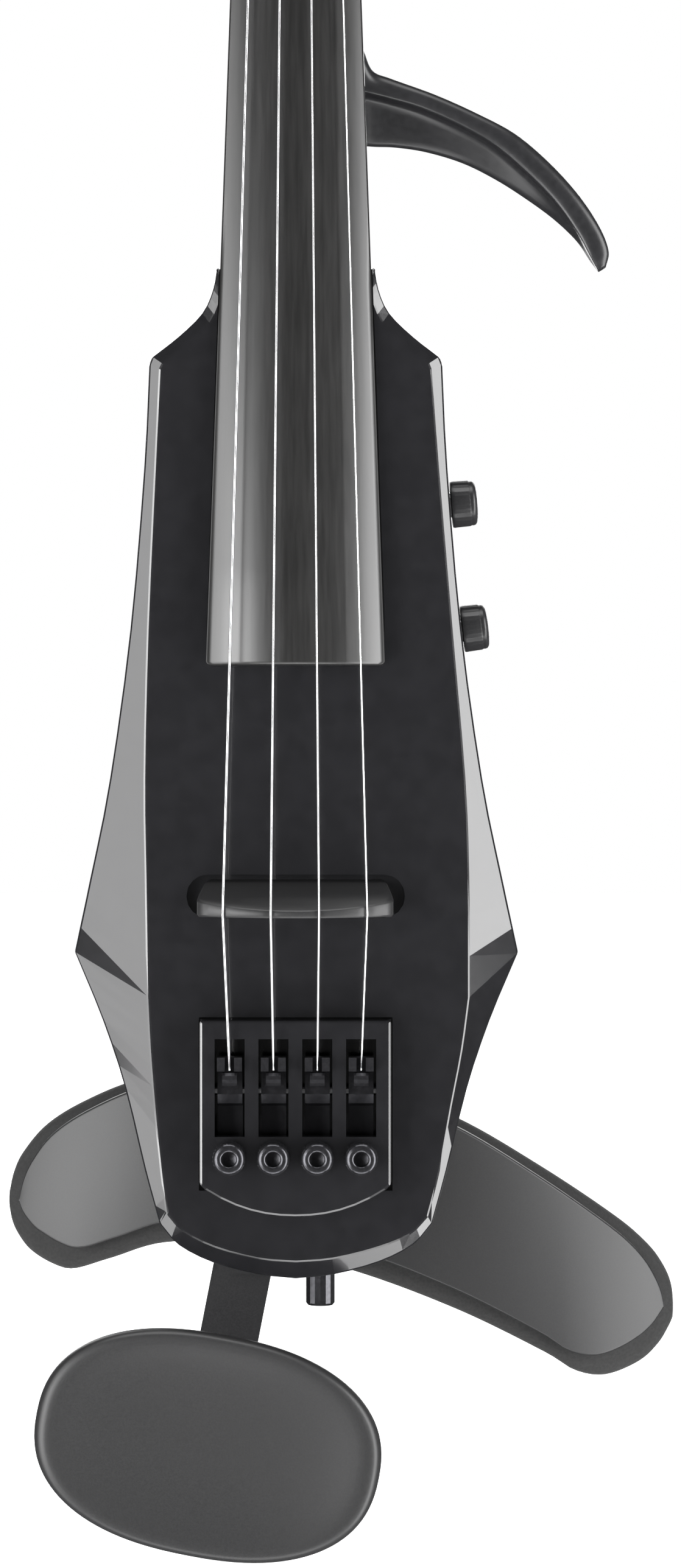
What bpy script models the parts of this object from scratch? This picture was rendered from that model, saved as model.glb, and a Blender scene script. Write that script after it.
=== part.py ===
"""Full-size electric violin: solid body, shoulder rest, chin rest and fine tuners.

Lengths are in millimetres and are turned into metres when a mesh is made. X is to the right seen
from the front, Y runs from the front to the back, and heights run up from the tail of the body
along the neck. The origin is the centre of the back cover's outer face.
"""
import math

import bmesh
import bpy
from mathutils import Matrix, Vector

MM = 0.001
GAP = 0.3
TAIL_Z = -150.0

# Strings
STRING_LENGTH = 328.0
BRIDGE_HEIGHT = 87.7
NUT_HEIGHT = BRIDGE_HEIGHT + STRING_LENGTH
STRING_NAMES = ("g", "d", "a", "e")
STRING_RADII = {"g": 0.40, "d": 0.36, "a": 0.32, "e": 0.26}
BRIDGE_SPACING = 33.4 / 3
NUT_SPACING = 16.5 / 3
TUNER_SPACING = 10.2
BRIDGE_STRING_Y = -47.5
NUT_STRING_Y = -24.0
ARCH_RADIUS = 42.0
STRING_CLEARANCE = 0.75

# Body
BACK_Y = -2.8
FRONT_Y = -27.8
FACET_SLOPE = 0.55
BODY_EDGE = 0.45
COVER_BACK = 0.0
COVER_FRONT = -2.5
CAVITY = ((-27.0, 27.0), (100.0, 200.0), -18.0)
COVER_HALF = (31.0, 58.0)

# Fingerboard and neck
BOARD_END = 145.5
BOARD_TOP = 411.2
BOARD_HALF = (20.9, 11.5)
BOARD_UNDERSIDE = (-28.4, -16.75)
BOARD_SIDE = 4.6
NECK_FOOT = 239.3

# Pegs: side, height, depth
PEGS = {"g": (-1, 434.0, -5.5), "e": (1, 448.0, -3.6), "d": (-1, 462.0, -1.6), "a": (1, 476.0, 0.4)}
PEG_RADIUS = 3.7

# Tuner unit
AXLE_HEIGHT = 46.0
AXLE_Y = -30.0
SCREW_HEIGHT = 31.0
FORK_HEIGHT = 52.5
FORK_Y = -35.4
HOUSING_FRONT = -35.2
HOUSING_BACK = -23.8

# Side knobs: height up the body, wall X and lean of the wall
KNOBS = {"volume": (184.4, 36.2, 4.6), "tone": (154.7, 38.8, 7.0)}
KNOB_Y = -10.5

# Chin rest and shoulder rest, hung behind the tail
CHIN_LEAN = math.radians(11.0)
CHIN_PIVOT = (-10.0, 17.15)
CHIN_BAR_Y = 5.5
CHIN_REACH = 53.3
CHIN_PIN_Y = -33.0
CHIN_HALF = (40.3, 25.85)
SHOULDER_PIVOT = (6.0, 30.0)
SHOULDER_PIN_Y = 11.5
PLATE_Y = 22.5
PLATE_THICK = 4.0
PAD_THICK = 9.0
PLATE_BOW = 15.0

BODY_SIDE = (
    ((18.6, 239), (19.5, 234), (22, 228.5), (27.5, 223), (33.7, 218.2)),
    ((34.4, 216.4), (35.6, 192), (38.9, 154), (43.8, 119), (48.5, 96), (52.5, 78)),
    ((52.5, 78), (45.6, 62), (40.2, 46), (35.5, 27), (32, 14.4)),
    ((32, 14.4), (27.5, 9.4), (19.5, 5.3), (9, 2.5), (0, 1.5)),
)
FACE_LEFT = (
    ((17.0, 236.5), (17.8, 231.8), (20.3, 226.0), (26.0, 220.9), (31.1, 216.3)),
    ((31.7, 215), (32.8, 192), (34.5, 154), (35.3, 119), (35.0, 96), (34.6, 68)),
    ((34.6, 68), (34.0, 56), (32.9, 42), (31.5, 28), (30.2, 17.4)),
    ((30.2, 17.4), (26.4, 13.2), (18.8, 9.4), (8.6, 6.7), (0, 6.0)),
)
FACE_RIGHT = (
    ((17.0, 236.5), (17.8, 231.8), (20.3, 226.0), (26.0, 220.9), (31.0, 216.3)),
    ((31.5, 215), (33.2, 192), (36.4, 154), (39.4, 119), (40.3, 96), (40.4, 67.5)),
    ((40.4, 67.5), (38.7, 55), (36.2, 42), (33.4, 27), (30.8, 16.6)),
    ((30.8, 16.6), (26.6, 12.4), (18.8, 9.2), (8.6, 6.7), (0, 6.0)),
)
SPAN_STEPS = (3, 3, 3, 3)

# Height, half-width (None follows the fingerboard), front Y (None follows it too), back Y, squareness
NECK_SECTIONS = (
    (NECK_FOOT, None, None, -3.1, 4.0),
    (250, None, None, -4.0, 3.4),
    (262, None, None, -6.6, 2.8),
    (276, None, None, -9.2, 2.4),
    (295, None, None, -10.0, 2.2),
    (345, None, None, -7.8, 2.1),
    (395, None, None, -5.2, 2.1),
    (410, None, None, -4.2, 2.4),
    (418, 12.3, -16.2, -2.6, 3.2),
    (426, 12.6, -15.3, 0.6, 4.2),
    (456, 12.4, -11.9, 7.6, 4.6),
    (490, 11.4, -7.6, 12.2, 4.6),
    (508, 9.8, -2.4, 15.2, 4.0),
    (520, 7.8, 4.0, 17.2, 3.4),
    (526, 5.0, 9.4, 17.4, 2.8),
)

# Outer edges of the shoulder rest's pad, left to right: X and height
PAD_UPPER = ((-72.7, 14.6), (-71.5, 20.4), (-69.0, 25.6), (-63.1, 32.5), (-53.9, 38.4), (-40.4, 44.1),
             (-21.5, 48.2), (-0.5, 47.1), (20.5, 41.9), (40.0, 34.7), (61.2, 22.1), (79.1, 9.8), (86.9, 3.1),
             (91.0, -2.0), (93.6, -7.7), (94.2, -14.8))
PAD_LOWER = ((-72.7, 13.5), (-71.9, 8.3), (-70.0, 4.4), (-66.9, 0.8), (-61.4, -2.3), (-56.0, -3.3),
             (-46.7, -0.4), (-31.8, 4.0), (-8.9, 2.9), (16.0, -3.5), (40.3, -13.0), (61.2, -23.7),
             (69.0, -28.6), (76.7, -30.0), (85.2, -27.1), (90.2, -22.3), (93.1, -18.4), (94.2, -15.9))
PAD_ENDS = (-72.7, 94.2)
PLATE_INSET = 2.8

# Upper-bout arm stations: outer rim, inner rim and the web's lower edge, each as X and height
ARM_OUTER = ((15.95, 292), (18.2, 287), (22.6, 285.2), (33, 281.6), (43, 277.2), (52, 272.4), (60, 265.7),
             (67, 258), (72, 250.4), (74.2, 244.6), (73.6, 240.8))
ARM_INNER = ((16.3, 281.2), (18.5, 280.8), (22.5, 279.9), (29.7, 277.9), (38, 274.4), (46.4, 269.8),
             (54, 263.6), (61.2, 256.4), (66.6, 249), (69.6, 243.6), (71.6, 240.2))
ARM_WEB = ((16.75, 270.2), (19, 270.1), (23.8, 270), (31, 269), (39.6, 266.4), (47.6, 262.4), (55, 257.6),
           (61.6, 252.6), (66.8, 247.4), (69.8, 242.8), (71.9, 239.8))
ARM_FRONT_Y = (-20.0, -19.4, -18.6, -17.6, -17.0, -16.6, -16.2, -15.8, -15.4, -15.0, -13.6)
ARM_DEPTH = (10.4, 10.4, 10.4, 10.4, 10.0, 9.4, 8.6, 7.6, 6.2, 4.8, 2.2)
ARM_DOWEL = (-14.2, 282.0)  # Y and height of the dowel that joins the arm to the neck


def up(height):
    """Z in millimetres of a height above the tail."""
    return height + TAIL_Z


def point(x, y, height):
    return Vector((x, y, up(height)))


# ---------------------------------------------------------------- scene and materials
def clear_scene():
    for old in list(bpy.data.objects):
        bpy.data.objects.remove(old, do_unlink=True)


def new_collection(name):
    group = bpy.data.collections.new(name)
    bpy.context.scene.collection.children.link(group)
    return group


FINISHES = {
    "gloss_black": ((0.012, 0.012, 0.014), 0.12, 0.0),
    "satin_black": ((0.025, 0.025, 0.027), 0.45, 0.0),
    "ebony": ((0.05, 0.045, 0.043), 0.38, 0.0),
    "steel": ((0.75, 0.75, 0.76), 0.22, 1.0),
    "dark_metal": ((0.10, 0.10, 0.11), 0.32, 0.9),
    "rest_plastic": ((0.06, 0.06, 0.062), 0.42, 0.0),
    "pad_foam": ((0.02, 0.02, 0.02), 0.85, 0.0),
    "board_green": ((0.02, 0.10, 0.05), 0.4, 0.0),
    "rubber": ((0.02, 0.02, 0.02), 0.7, 0.0),
}


def give_material(thing, finish):
    colour, roughness, metallic = FINISHES[finish]
    surface = bpy.data.materials.new(f"{thing.name}_{finish}")
    surface.use_nodes = True
    shader = surface.node_tree.nodes["Principled BSDF"]
    shader.inputs["Base Color"].default_value = (*colour, 1.0)
    shader.inputs["Roughness"].default_value = roughness
    shader.inputs["Metallic"].default_value = metallic
    thing.data.materials.append(surface)


def finish_object(name, data, finish):
    """Link a part to the violin's collection, or a cutter where no finish is given."""
    thing = bpy.data.objects.new(name, data)
    if finish is None:
        CUTTERS.objects.link(thing)
        thing.hide_render = True
        thing.display_type = "WIRE"
    else:
        PARTS.objects.link(thing)
        give_material(thing, finish)
    return thing


def mesh_object(name, shape, finish, smooth=True):
    bmesh.ops.recalc_face_normals(shape, faces=shape.faces[:])
    data = bpy.data.meshes.new(name)
    shape.to_mesh(data)
    shape.free()
    if smooth:
        data.shade_smooth()
        data.set_sharp_from_angle(angle=math.radians(32))
    return finish_object(name, data, finish)


def set_origin(thing, place):
    """Put the object's origin at a place in millimetres, leaving its mesh where it is."""
    offset = place * MM
    thing.data.transform(Matrix.Translation(-offset))
    thing.location = offset
    return thing


# ---------------------------------------------------------------- shapes
def loft(name, rings, finish):
    """A closed solid through rings that have the same number of points."""
    shape = bmesh.new()
    rows = [[shape.verts.new(spot * MM) for spot in ring] for ring in rings]
    for lower, upper in zip(rows, rows[1:]):
        for index in range(len(lower)):
            after = (index + 1) % len(lower)
            shape.faces.new((lower[index], lower[after], upper[after], upper[index]))
    shape.faces.new(list(reversed(rows[0])))
    shape.faces.new(rows[-1])
    return mesh_object(name, shape, finish)


def extruded(name, outline, along, finish, bevel=0.0):
    """A flat outline, given as points, pushed along a vector."""
    shape = bmesh.new()
    base = shape.faces.new([shape.verts.new(spot * MM) for spot in outline])
    pushed = bmesh.ops.extrude_face_region(shape, geom=[base])
    moved = [item for item in pushed["geom"] if isinstance(item, bmesh.types.BMVert)]
    bmesh.ops.translate(shape, verts=moved, vec=along * MM)
    thing = mesh_object(name, shape, finish)
    if bevel:
        add_bevel(thing, bevel)
    return thing


def box(name, x, y, heights, finish, bevel=0.0):
    outline = [point(x[0], y[0], heights[0]), point(x[1], y[0], heights[0]),
               point(x[1], y[0], heights[1]), point(x[0], y[0], heights[1])]
    return extruded(name, outline, Vector((0, y[1] - y[0], 0)), finish, bevel)


def add_bevel(thing, width, segments=2, angle=30):
    bevel = thing.modifiers.new("edges", "BEVEL")
    bevel.width = width * MM
    bevel.segments = segments
    bevel.limit_method = "ANGLE"
    bevel.angle_limit = math.radians(angle)
    bevel.use_clamp_overlap = True


def turned(name, profile, place, direction, finish, steps=16):
    """Turn a profile of (radius, distance) around a direction; it runs down its outer side."""
    data = bpy.data.meshes.new(name)
    spots = [(radius * MM, 0.0, distance * MM) for radius, distance in profile]
    data.from_pydata(spots, [(i, i + 1) for i in range(len(spots) - 1)], [])
    thing = finish_object(name, data, finish)
    screw = thing.modifiers.new("turn", "SCREW")
    screw.angle = math.tau
    screw.steps = steps
    screw.render_steps = steps
    screw.use_merge_vertices = True
    screw.merge_threshold = 0.00002
    screw.use_smooth_shade = True
    thing.rotation_euler = direction.to_track_quat("Z", "Y").to_euler()
    thing.location = place * MM
    return thing


def rod(name, radius, start, end, finish, steps=12):
    length = (end - start).length
    profile = ((0, length), (radius, length), (radius, 0), (0, 0))
    return turned(name, profile, start, end - start, finish, steps)


def wire(name, route, radius, finish):
    """A tube along a route, with filled ends."""
    path = bpy.data.curves.new(name, "CURVE")
    path.dimensions = "3D"
    path.bevel_depth = radius * MM
    path.bevel_resolution = 2
    path.use_fill_caps = True
    spline = path.splines.new("POLY")
    spline.points.add(len(route) - 1)
    for knot, spot in zip(spline.points, route):
        knot.co = (*(spot * MM), 1.0)
    guide = bpy.data.objects.new(name + "_route", path)
    CUTTERS.objects.link(guide)
    depsgraph = bpy.context.evaluated_depsgraph_get()
    data = bpy.data.meshes.new_from_object(guide.evaluated_get(depsgraph))
    bpy.data.objects.remove(guide, do_unlink=True)
    shape = bmesh.new()
    shape.from_mesh(data)
    bmesh.ops.remove_doubles(shape, verts=shape.verts[:], dist=0.00001)
    shape.to_mesh(data)
    shape.free()
    data.materials.clear()
    return finish_object(name, data, finish)


def combine(target, tool, operation):
    step = target.modifiers.new(operation.lower(), "BOOLEAN")
    step.operation = operation
    step.object = tool
    step.solver = "EXACT"


def cut(target, tool):
    combine(target, tool, "DIFFERENCE")


def join(target, tool):
    combine(target, tool, "UNION")


# ---------------------------------------------------------------- curves
def through(knots, steps):
    """Points on a smooth curve through the knots (Catmull-Rom)."""
    knots = [Vector(knot) for knot in knots]
    padded = [2 * knots[0] - knots[1], *knots, 2 * knots[-1] - knots[-2]]
    spots = []
    for a, b, c, d in zip(padded, padded[1:], padded[2:], padded[3:]):
        for step in range(steps):
            t = step / steps
            spots.append(0.5 * (2 * b + (c - a) * t + (2 * a - 5 * b + 4 * c - d) * t * t
                                + (3 * b - a - 3 * c + d) * t ** 3))
    spots.append(knots[-1])
    return spots


def side_curve(spans):
    """One side of an outline from the neck to the tail, without repeated points."""
    spots = []
    for span, steps in zip(spans, SPAN_STEPS):
        for spot in through(span, steps):
            if not spots or (spot - spots[-1]).length > 0.05:
                spots.append(spot)
    return spots


def height_at(curve, x):
    """Height of a left-to-right curve at X."""
    for a, b in zip(curve, curve[1:]):
        if a.x <= x <= b.x:
            share = (x - a.x) / max(b.x - a.x, 1e-6)
            return a.y + (b.y - a.y) * share
    return curve[0].y if x < curve[0].x else curve[-1].y


def circle(centre, radius, axis_a, axis_b, count=18):
    return [centre + radius * (math.cos(turn) * axis_a + math.sin(turn) * axis_b)
            for turn in (math.tau * i / count for i in range(count))]


def rounded_rectangle(half_x, half_z, radius, y, centre=(0.0, 150.0), corner_steps=4):
    spots = []
    for quarter, (sx, sz) in enumerate(((1, 1), (-1, 1), (-1, -1), (1, -1))):
        for i in range(corner_steps + 1):
            turn = math.pi / 2 * (quarter + i / corner_steps)
            spots.append(point(centre[0] + sx * (half_x - radius) + radius * math.cos(turn), y,
                               centre[1] + sz * (half_z - radius) + radius * math.sin(turn)))
    return spots


# ---------------------------------------------------------------- fingerboard and string geometry
def along_board(height):
    return (height - BOARD_END) / (NUT_HEIGHT - BOARD_END)


def board_half(height):
    return BOARD_HALF[0] + (BOARD_HALF[1] - BOARD_HALF[0]) * along_board(height)


def board_underside(height):
    return BOARD_UNDERSIDE[0] + (BOARD_UNDERSIDE[1] - BOARD_UNDERSIDE[0]) * along_board(height)


def arch(x, radius=ARCH_RADIUS):
    """How far an arched surface has dropped back at X from its middle."""
    return radius - math.sqrt(radius * radius - x * x)


def string_number(name):
    return STRING_NAMES.index(name) - 1.5


def board_ring(height, spread=0.0, under=0.0, top=0.0):
    half = board_half(height) + spread
    bottom = board_underside(height)
    crown = bottom - BOARD_SIDE - arch(half)
    ring = [point(-half, bottom + under, height)]
    for i in range(13):
        x = -half + 2 * half * i / 12
        ring.append(point(x, crown + arch(x) - top, height))
    ring.append(point(half, bottom + under, height))
    return ring


def make_fingerboard():
    heights = (BOARD_END, 200, 260, 320, BOARD_TOP)
    board = loft("fingerboard", [board_ring(height) for height in heights], "ebony")
    add_bevel(board, 0.5, angle=40)


# ---------------------------------------------------------------- body
def body_rings():
    outline = side_curve(BODY_SIDE)
    faces = {-1: side_curve(FACE_LEFT), 1: side_curve(FACE_RIGHT)}
    back, edge, face = [], [], []
    order = [(-1, i) for i in range(len(outline))]
    order += [(1, i) for i in range(len(outline) - 2, -1, -1)]
    for side, i in order:
        wall, rim = outline[i], faces[side][i]
        depth = FRONT_Y + FACET_SLOPE * (wall - rim).length
        back.append(point(side * wall.x, BACK_Y, wall.y))
        edge.append(point(side * wall.x, depth, wall.y))
        face.append(point(side * rim.x, FRONT_Y, rim.y))
    return back, edge, face


def make_body():
    body = loft("body", body_rings(), "gloss_black")
    add_bevel(body, BODY_EDGE, angle=14)
    (left, right), (bottom, top), floor = CAVITY
    cut(body, box("cavity_cutter", (left, right), (floor, 5), (bottom, top), None))
    seat = [board_ring(height, GAP, GAP, 10) for height in (BOARD_END - GAP, 245)]
    cut(body, loft("board_seat_cutter", seat, None))
    cut(body, extruded("bridge_seat_cutter", rounded_rectangle(25.6, 5.05, 4.9, -35, (0, 91.5)),
                       Vector((0, 10.2, 0)), None))
    cut(body, box("pickup_groove_cutter", (-20, 20), (-26, -22.3), (88.4, 94.6), None))
    cut(body, rod("lead_hole_cutter", 1.5, point(0, -23.4, 91.5), point(0, -14, 104), None))
    cut(body, box("tuner_pocket_cutter", (-22.7, 22.7), (-40, HOUSING_BACK + GAP), (22.4, 63.1), None))
    for name in KNOBS:
        start, end = knob_axis(name, 18.0, 44.0)
        cut(body, rod(f"{name}_hole_cutter", 3.8, start, end, None))
    cut(body, rod("jack_hole_cutter", 4.8, point(-45, KNOB_Y, 172), point(-20, KNOB_Y, 172), None))
    cut(body, rod("jack_nut_cutter", 7.6, point(-45, KNOB_Y, 172), point(-34.0, KNOB_Y, 172), None))
    for x in (-8.0, 8.0):
        cut(body, rod(f"neck_screw_cutter_{x}", 2.3, point(x, -12, 198), point(x, -12, 242), None))
    for index, (x, height) in enumerate(cover_screw_places()):
        cut(body, rod(f"cover_hole_cutter_{index}", 1.5, point(x, 2, height), point(x, -10, height), None))
    for index, (x, height) in enumerate(bracket_screw_places()):
        cut(body, rod(f"bracket_hole_cutter_{index}", 2.3, point(x, 2, height), point(x, -16, height), None))


def cover_screw_places():
    half_x, half_z = COVER_HALF
    return [(sx * (half_x - 1.9), 150 + sz * (half_z - 5)) for sx in (-1, 1) for sz in (-1, 1)]


def make_cover():
    cover = extruded("back_cover", rounded_rectangle(COVER_HALF[0] + 3, COVER_HALF[1], 5, COVER_FRONT),
                     Vector((0, COVER_BACK - COVER_FRONT, 0)), "satin_black")
    for index, (x, height) in enumerate(cover_screw_places()):
        cut(cover, rod(f"cover_shank_cutter_{index}", 1.5, point(x, 2, height), point(x, -6, height), None))
        cut(cover, rod(f"cover_head_cutter_{index}", 2.9, point(x, 2, height), point(x, -1.7, height), None))
        profile = ((0, -0.2), (2.5, -0.2), (2.5, -1.4), (1.2, -1.4), (1.2, -9), (0, -9))
        turned(f"cover_screw_{index + 1}", profile, point(x, 0, height), Vector((0, 1, 0)), "steel", 12)


# ---------------------------------------------------------------- neck, head and nut
def neck_ring(height, half, front, back, square, count=16):
    half = board_half(height) - 0.2 if half is None else half
    front = board_underside(height) + GAP if front is None else front
    shoulder = front + 2.0
    ring = [point(half, front, height), point(-half, front, height)]
    for i in range(count + 1):
        turn = math.pi * i / count
        wide = math.copysign(abs(math.cos(turn)) ** (2 / square), math.cos(turn))
        deep = abs(math.sin(turn)) ** (2 / square)
        ring.append(point(-half * wide, shoulder + (back - shoulder) * deep, height))
    return ring


def make_neck():
    neck = loft("neck", [neck_ring(*section) for section in NECK_SECTIONS], "gloss_black")
    trough = []
    for height, floor in ((421.5, -1.8), (489, 5.6)):
        trough.append([point(-6.6, floor, height), point(6.6, floor, height),
                       point(6.6, -30, height), point(-6.6, -30, height)])
    cut(neck, loft("pegbox_cutter", trough, None))
    for name, (side, height, depth) in PEGS.items():
        cut(neck, rod(f"peg_hole_cutter_{name}", PEG_RADIUS + GAP, point(-16, depth, height),
                      point(16, depth, height), None))
    for x in (-8.0, 8.0):
        cut(neck, rod(f"neck_thread_cutter_{x}", 2.3, point(x, -12, 236), point(x, -12, 258), None))
    cut(neck, rod("dowel_hole_cutter", 2.1, point(8, *ARM_DOWEL), point(20, *ARM_DOWEL), None))


def make_neck_screws():
    for index, x in enumerate((-8.0, 8.0)):
        profile = ((0, 57), (2.0, 57), (2.0, 0), (3.6, 0), (3.6, -3), (0, -3))
        turned(f"neck_screw_{index + 1}", profile, point(x, -12, 199.7), Vector((0, 0, 1)), "steel", 12)


def make_nut():
    half = board_half(NUT_HEIGHT) + 0.1
    profile = [point(-half, -16.0 - GAP * 2, 411.5)]
    for i in range(13):
        x = -half + 2 * half * i / 12
        profile.append(point(x, NUT_STRING_Y + STRING_CLEARANCE + arch(x), 411.5))
    profile.append(point(half, -16.0 - GAP * 2, 411.5))
    nut = extruded("nut", profile, Vector((0, 0, 4.6)), "ebony")
    add_bevel(nut, 0.4, angle=40)


# ---------------------------------------------------------------- bridge and strings
def make_bridge():
    base_y, ridge = -25.2, BRIDGE_STRING_Y + STRING_CLEARANCE
    outline = [(-20.6, base_y), (-21.8, base_y - 2.2), (-22.8, -38.0)]
    for i in range(15):
        x = -22.1 + 44.2 * i / 14
        outline.append((x, ridge + arch(x)))
    outline += [(22.8, -38.0), (21.8, base_y - 2.2), (20.6, base_y)]
    tail_side, neck_side = [], []
    for x, y in outline:
        share = (y - ridge) / (base_y - ridge)
        tail_side.append(point(x, y, 86.9 + 0.4 * share))
        neck_side.append(point(x, y, 88.7 + 6.6 * share))
    bridge = loft("bridge", [tail_side, neck_side], "ebony")
    add_bevel(bridge, 0.5, angle=40)
    box("pickup_bar", (-19.6, 19.6), (-24.8, -22.7), (88.8, 94.2), "steel", 0.3)


def string_route(name):
    number = string_number(name)
    side, peg_height, peg_y = PEGS[name]
    bridge_x, nut_x = number * BRIDGE_SPACING, number * NUT_SPACING
    radius = STRING_RADII[name]
    return [point(number * TUNER_SPACING, FORK_Y, FORK_HEIGHT + 2.4),
            point(bridge_x, BRIDGE_STRING_Y + arch(bridge_x), BRIDGE_HEIGHT),
            point(nut_x, NUT_STRING_Y + arch(nut_x), 411.9),
            point(nut_x, NUT_STRING_Y + arch(nut_x) + 0.2, NUT_HEIGHT),
            point(nut_x * 0.5, peg_y - PEG_RADIUS - radius - GAP, peg_height - 0.5)]


def make_strings():
    for name in STRING_NAMES:
        wire(f"string_{name}", string_route(name), STRING_RADII[name], "steel")
        x = string_number(name) * TUNER_SPACING
        turned(f"string_ball_{name}", ((0, 1.7), (1.7, 1.7), (1.7, -1.7), (0, -1.7)),
               point(x, FORK_Y + 0.1, FORK_HEIGHT - 3.4), Vector((1, 0, 0)), "steel", 12)


# ---------------------------------------------------------------- fine tuners
def housing_outline(y):
    spots = [point(-22.3, y, 62.7), point(-22.3, y, 24.6)]
    for i in range(9):
        x = -21.0 + 42.0 * i / 8
        spots.append(point(x, y, 22.8 + 0.4 * (abs(x) / 21.0) ** 2))
    return spots + [point(22.3, y, 24.6), point(22.3, y, 62.7)]


def lip_outline(y):
    """The front plate of the housing reaches down to an arched lip."""
    spots = [point(-22.3, y, 62.7), point(-22.3, y, 24.5)]
    for i in range(13):
        x = -21.0 + 42.0 * i / 12
        spots.append(point(x, y, 17.0 + 6.2 * (abs(x) / 21.0) ** 2.2))
    return spots + [point(22.3, y, 24.5), point(22.3, y, 62.7)]


def make_housing():
    depth = HOUSING_BACK - (FRONT_Y - GAP)
    housing = extruded("tuner_housing", lip_outline(HOUSING_FRONT),
                       Vector((0, FRONT_Y - GAP - HOUSING_FRONT, 0)), "gloss_black")
    add_bevel(housing, 0.6, angle=40)
    join(housing, extruded("housing_root", housing_outline(FRONT_Y - 1.5), Vector((0, depth + 1.2, 0)), None))
    cut(housing, box("arm_tunnel_cutter", (-20.2, 20.2), (-31.2, -20), (26.6, 40), None))
    for index in range(4):
        x = (index - 1.5) * TUNER_SPACING
        cut(housing, box(f"slot_cutter_{index}", (x - 3.5, x + 3.5), (-45, -20), (35.6, 58.4), None))
        cut(housing, rod(f"thread_cutter_{index}", 1.9, point(x, -45, SCREW_HEIGHT),
                         point(x, -29, SCREW_HEIGHT), None, 12))
    cut(housing, rod("axle_hole_cutter", 1.3, point(-19.9, AXLE_Y, AXLE_HEIGHT),
                     point(25, AXLE_Y, AXLE_HEIGHT), None, 12))
    rod("lever_axle", 1.0, point(-19.6, AXLE_Y, AXLE_HEIGHT), point(22.0, AXLE_Y, AXLE_HEIGHT), "steel", 12)


def make_lever(name):
    x = string_number(name) * TUNER_SPACING
    axle = point(x, AXLE_Y, AXLE_HEIGHT)
    outline = [(FORK_Y - 1.6, 51.0), (FORK_Y - 1.6, 54.2), (-30.0, 54.2), (-26.6, 49.0), (-25.9, 28.0), (-27.4, 27.6),
               (-28.1, 42.4), (-31.4, 43.2), (-32.6, 45.4), (-32.2, 51.0)]
    spots = [point(x - 2.9, y, height) for y, height in outline]
    lever = extruded(f"tuner_lever_{name}", spots, Vector((5.8, 0, 0)), "steel")
    set_origin(lever, axle)
    cut(lever, box(f"fork_cutter_{name}", (x - 1.1, x + 1.1), (-40, -32.2), (49, 57), None))
    cut(lever, rod(f"lever_bore_cutter_{name}", 1.3, axle - Vector((5, 0, 0)), axle + Vector((5, 0, 0)),
                   None, 12))


def make_tuner_screw(name):
    x = string_number(name) * TUNER_SPACING
    head = HOUSING_FRONT - GAP
    profile = ((0, -28.5), (1.5, -28.5), (1.5, head), (3.3, head), (3.9, head - 0.8), (3.9, head - 6.4),
               (3.2, head - 7.6), (1.7, head - 7.6), (1.7, head - 5.0), (0, head - 5.0))
    turned(f"tuner_screw_{name}", profile, point(x, 0, SCREW_HEIGHT), Vector((0, 1, 0)), "dark_metal", 16)


# ---------------------------------------------------------------- electronics
def knob_axis(name, inner, outer):
    """Two points on a control's axis, at these distances from the violin's middle plane."""
    height, wall, lean = KNOBS[name]
    slope = math.tan(math.radians(lean))
    return (point(inner, KNOB_Y, height + (inner - wall) * slope),
            point(outer, KNOB_Y, height + (outer - wall) * slope))


def make_control(name):
    wall = KNOBS[name][1]
    start, end = knob_axis(name, wall, wall + 10)
    direction = (end - start).normalized()
    shaft = -13.0
    knob = ((0, 7.0), (4.2, 7.0), (5.2, 6.4), (5.45, 5.6), (5.6, 1.2), (5.1, 0.6), (3.3, 0.6), (3.3, 5.2),
            (0, 5.2))
    turned(f"{name}_knob", knob, start, direction, "satin_black", 24)
    rod_shape = ((0, 4.9), (3.0, 4.9), (3.0, shaft + 0.4), (0, shaft + 0.4))
    turned(f"{name}_shaft", rod_shape, start, direction, "steel", 12)
    back = shaft - 6.0
    pot = ((0, shaft), (5.4, shaft), (5.4, back), (0, back))
    turned(f"{name}_pot", pot, start, direction, "steel", 14)


def make_jack():
    place = point(0, KNOB_Y, 172)
    outward = Vector((-1, 0, 0))
    jack = ((0, 18.0), (3.175, 18.0), (3.175, 36.4), (4.5, 36.4), (4.5, 26.7), (6.2, 26.7), (6.2, 14.0), (0, 14.0))
    turned("output_jack", jack, place, outward, "steel", 24)
    ring = ((4.8, 36.6), (7.2, 36.6), (7.2, 34.3), (4.8, 34.3), (4.8, 36.6))
    turned("jack_nut", ring, place, outward, "steel", 24)


def make_circuit():
    board = box("circuit_board", (-16, 12), (-15.2, -13.6), (108, 142), "board_green")
    parts = (((-12, -4), (-14.0, -9.5), (112, 122)), ((0, 8), (-14.0, -10.5), (126, 138)),
             ((3, 9), (-14.0, -8.6), (112, 118)))
    for index, (x, y, heights) in enumerate(parts):
        join(board, box(f"component_{index}", x, y, heights, None))
    wire("pickup_lead", [point(0, -21.6, 92.6), point(0, -19.4, 96.2), point(0, -15.6, 101.6),
                         point(-1, -12.5, 105.5), point(-1, -12.6, 109.5)], 0.7, "rubber")
    wire("jack_lead", [point(-14, -12.2, 139.5), point(-15.5, -9, 146), point(-14.5, -7, 156),
                       point(-11.5, -8.5, 166), point(-11.2, -10.5, 171)], 0.9, "rubber")


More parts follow.
